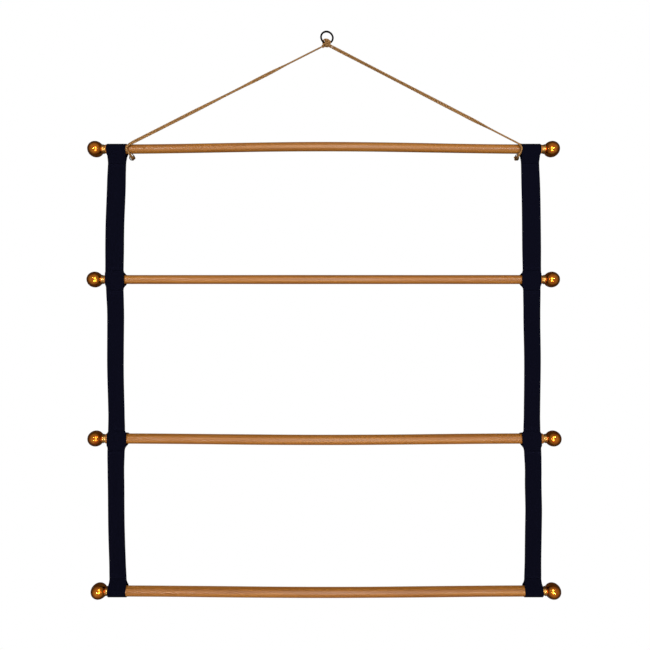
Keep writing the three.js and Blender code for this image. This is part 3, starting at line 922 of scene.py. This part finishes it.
def stitch_row(builder, height, side, face):
    """A row of short stitches across the strap at a height. face is -1 in front and 1 behind."""
    theta = np.linspace(0, 2 * np.pi, STITCH_SIDES, endpoint=False)
    middle = float(middle_y(height))
    y = middle + face * (LAYER + LAYER_GAP / 2 + STITCH_STAND)
    pitch = STITCH_PITCH * float(along_strap(WIDTH, height)) / WEB_W
    for place in STITCH_PLACES:
        rings = []
        for along, size in STITCH_SHAPE:
            ring = np.empty((STITCH_SIDES, 3))
            ring[:, 0] = place * pitch + along * MM
            ring[:, 1] = y + STITCH_THICK * size * np.cos(theta)
            ring[:, 2] = height + STITCH_BROAD * size * np.sin(theta)
            rings.append(ring)
        moved = [hang(ring, side, middle) for ring in rings]
        around = np.linspace(0, 2 * MM, STITCH_SIDES + 1)
        builder.tube(moved, around, np.arange(len(moved)) * 0.6 * MM, slot=1)


def touch(y, z, radius):
    """The angle at which a line from (y, z) touches a circle about the origin, on its +Y side."""
    return math.atan2(z, y) - math.acos(radius / math.hypot(y, z))


def loop_path(index, reach, flip):
    """The strap's way round an end rail, from the back tip over the rail to the front tip."""
    radius = RAIL_R[index] + FABRIC_ON_RAIL + LAYER / 2
    half = (LAYER + LAYER_GAP) / 2
    angle = touch(half, reach, radius)
    path = [(half, -reach), (half, -reach + LOOP_SEAM)]
    for a in np.linspace(-angle, math.pi + angle, 40):
        path.append((radius * math.cos(a), radius * math.sin(a)))
    path += [(-half, -reach + LOOP_SEAM), (-half, -reach)]
    path = relax(resample(path, BEND_STEP), 3)
    return np.stack([path[:, 0], RAIL_Z[index] + flip * path[:, 1]], axis=1)


SLEEVE_LOW = {i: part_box(f"sleeve_{i}_left")[0] for i in RAILS}
SLEEVE_HIGH = {i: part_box(f"sleeve_{i}_left")[1] for i in RAILS}
FRONT_DEPTH = 1.7 * MM  # from a middle sleeve's front to the middle of the doubled strap
STRAP_Y = {1: 0.0, 2: SLEEVE_LOW[2].y + FRONT_DEPTH, 3: SLEEVE_LOW[3].y + FRONT_DEPTH, 4: 0.0}
MIDDLE_KEYS = (
    (SLEEVE_LOW[1].z, STRAP_Y[1]),
    (SLEEVE_HIGH[2].z, STRAP_Y[2]),
    (SLEEVE_LOW[2].z, STRAP_Y[2]),
    (SLEEVE_HIGH[3].z, STRAP_Y[3]),
    (SLEEVE_LOW[3].z, STRAP_Y[3]),
    (SLEEVE_HIGH[4].z, STRAP_Y[4]),
)


def middle_y(z):
    """The doubled strap's middle in depth at a height, straight between its keys."""
    heights = np.array([key[0] for key in MIDDLE_KEYS])[::-1]
    depths = np.array([key[1] for key in MIDDLE_KEYS])[::-1]
    return np.interp(z, heights, depths)


def double_layer(builder, z_top, z_bottom, side):
    """Front and back layers of the strap between two heights, easing apart a little midway.
    Gives back the path of one layer."""
    count = max(2, int(round((z_top - z_bottom) / RING_STEP)) + 1)
    z = np.linspace(z_top, z_bottom, count)
    span = np.sin(np.pi * (z_top - z) / (z_top - z_bottom))
    middle = middle_y(z)
    half = (LAYER + LAYER_GAP) / 2
    for layer, sign in enumerate((-1, 1)):
        ease = LAYER_EASE * span * (0.6 + 0.4 * np.sin(z * 40 + layer))
        path = np.stack([middle + sign * (half + ease), z], axis=1)
        ribbon(builder, path[::-1] if sign > 0 else path, side, middle_y, start_v=-z_top)
    return path


STITCHES = (4 * MM, 8 * MM)  # rows of them, from each end of a web


def web_piece(index, label, side):
    node = f"web_{index}_{label}"
    z_top = SLEEVE_LOW[index].z
    z_bottom = SLEEVE_HIGH[index + 1].z
    builder = Builder()
    path = double_layer(builder, z_top, z_bottom, side)
    for row in STITCHES:
        for face in (-1, 1):
            stitch_row(builder, z_top - row, side, face)
            stitch_row(builder, z_bottom + row, side, face)
    piece = builder.piece(f"strap_{node}")
    finish_piece(piece, [WEBBING, THREAD], STRAP_BODY[index], node)


def loop_piece(index, label, side):
    node = f"sleeve_{index}_{label}"
    flip = 1 if index == 1 else -1
    tip = SLEEVE_LOW[index].z if index == 1 else SLEEVE_HIGH[index].z
    path = loop_path(index, abs(RAIL_Z[index] - tip), flip)
    builder = Builder()
    ribbon(builder, path if flip > 0 else path[::-1], side, 0.0)
    piece = builder.piece(f"strap_loop_{index}_{label}")
    body = STRAP_BODY[1] if index == 1 else STRAP_BODY[3]
    finish_piece(piece, [WEBBING, THREAD], body, node)


def pocket_piece(index, label, side):
    """The doubled strap in front of a middle rail, with the band sewn to it round the back."""
    node = f"sleeve_{index}_{label}"
    z0 = RAIL_Z[index]
    top, bottom = SLEEVE_HIGH[index].z, SLEEVE_LOW[index].z
    builder = Builder()
    front = double_layer(builder, top, bottom, side)
    radius = RAIL_R[index] + FABRIC_ON_RAIL + LAYER / 2
    seat = STRAP_Y[index] + 1.5 * LAYER + LAYER_GAP
    up, down = top - z0, z0 - bottom
    band = [(seat, -down + 0.5 * MM), (seat, -down + BAND_SEAM)]
    lower, upper = -touch(seat, down - BAND_SEAM, radius), touch(seat, up - BAND_SEAM, radius)
    for a in np.linspace(lower, upper, 30):
        band.append((radius * math.cos(a), radius * math.sin(a)))
    band += [(seat, up - BAND_SEAM), (seat, up - 0.5 * MM)]
    band = relax(resample(band, BEND_STEP), 2)
    band[:, 1] += z0
    ribbon(builder, band[::-1], side, 0.0)
    piece = builder.piece(f"strap_pocket_{index}_{label}")
    finish_piece(piece, [WEBBING, THREAD], None, node)
    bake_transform(piece)


for label, side in SIDES:
    for index in (1, 2, 3):
        web_piece(index, label, side)
    loop_piece(1, label, side)
    loop_piece(4, label, side)
    pocket_piece(2, label, side)
    pocket_piece(3, label, side)

# ---------------------------------------------------------------- floor, light and surroundings

FLOOR_DROP = 1.0
FLOOR_RADIUS = 1.4
FLOOR_SIDES = 96
WARM = (1, 0.93, 0.82)
MIDDLE_LIGHT_Z = -0.8


def add_floor():
    """A round pale floor well below the hanging rack."""
    angles = np.linspace(0, 2 * np.pi, FLOOR_SIDES, endpoint=False)
    verts = [(FLOOR_RADIUS * math.cos(a), FLOOR_RADIUS * math.sin(a), 0) for a in angles]
    mesh = bpy.data.meshes.new("floor")
    mesh.from_pydata(verts, [], [tuple(range(FLOOR_SIDES))])
    mesh.materials.append(floor_material())
    floor = bpy.data.objects.new("floor", mesh)
    floor.location = (0, 0, CAD_BOX[0].z - FLOOR_DROP)
    bpy.context.scene.collection.objects.link(floor)
    floor.visible_glossy = False
    floor.visible_diffuse = False


def add_area(name, location, target, size, power, colour=(1, 1, 1), spread=180):
    """A round lamp aimed at a target: its size in metres, power in watts and spread in degrees."""
    data = bpy.data.lights.new(name, "AREA")
    data.shape = "DISK"
    data.size = size
    data.energy = power
    data.color = colour
    data.spread = math.radians(spread)
    lamp = bpy.data.objects.new(name, data)
    lamp.location = location
    direction = np.array(target, float) - np.array(location, float)
    lamp.rotation_mode = "QUATERNION"
    lamp.rotation_quaternion = Vector(direction).to_track_quat("-Z", "Y")
    bpy.context.scene.collection.objects.link(lamp)
    return lamp


def add_world():
    """White to the camera; a soft room for light, brighter in front and dim behind."""
    world = bpy.data.worlds.new("studio")
    bpy.context.scene.world = world
    world.use_nodes = True
    tree = world.node_tree
    tree.nodes.clear()
    output = tree.nodes.new("ShaderNodeOutputWorld")
    path = tree.nodes.new("ShaderNodeLightPath")
    white = tree.nodes.new("ShaderNodeBackground")
    white.inputs[0].default_value = (1, 1, 1, 1)
    coords = tree.nodes.new("ShaderNodeTexCoord")
    split = tree.nodes.new("ShaderNodeSeparateXYZ")
    tree.links.new(coords.outputs["Generated"], split.inputs[0])
    ramp = tree.nodes.new("ShaderNodeMapRange")
    tree.links.new(split.outputs[1], ramp.inputs[0])
    ramp.inputs["From Min"].default_value = -0.9
    ramp.inputs["From Max"].default_value = 0.0
    ramp.inputs["To Min"].default_value = 0.5
    ramp.inputs["To Max"].default_value = 0.07
    room = tree.nodes.new("ShaderNodeBackground")
    room.inputs[0].default_value = (1.0, 0.97, 0.93, 1)
    tree.links.new(ramp.outputs[0], room.inputs[1])
    mix = tree.nodes.new("ShaderNodeMixShader")
    tree.links.new(path.outputs["Is Camera Ray"], mix.inputs[0])
    tree.links.new(room.outputs[0], mix.inputs[1])
    tree.links.new(white.outputs[0], mix.inputs[2])
    tree.links.new(mix.outputs[0], output.inputs[0])


def add_lamps():
    """A tall strip beside the camera, two soft lamps, and small and rear lamps on both sides."""
    strip = add_area("flash", (0.14, -1.75, MIDDLE_LIGHT_Z), (0.06, 0, MIDDLE_LIGHT_Z), 0.25, 9.0)
    strip.data.shape = "ELLIPSE"
    strip.data.size_y = 2.6
    add_area("soft_top", (0, -2.2, -0.1), (0, 0, -0.3), 1.0, 11.0, WARM)
    add_area("soft_low", (0, -2.2, -1.75), (0, 0, -1.5), 1.0, 10.0, WARM)
    for label, side in SIDES:
        upper = ((side * 0.95, -1.55, -0.34), (side * 0.6, 0, -0.5))
        lower = ((side * 0.8, -1.55, -1.6), (side * 0.6, 0, -1.35))
        add_area(f"upper_lamp_{label}", *upper, 0.1, 1.1, spread=80)
        add_area(f"lower_lamp_{label}", *lower, 0.1, 1.1, WARM, 80)
        rear = add_area(f"back_lamp_{label}", (side * 1.4, 2.0, -0.2), (0, 0, MIDDLE_LIGHT_Z), 1.2, 30)
        rear.visible_glossy = False


add_floor()
add_world()
add_lamps()

bpy.context.scene.view_settings.view_transform = "Standard"
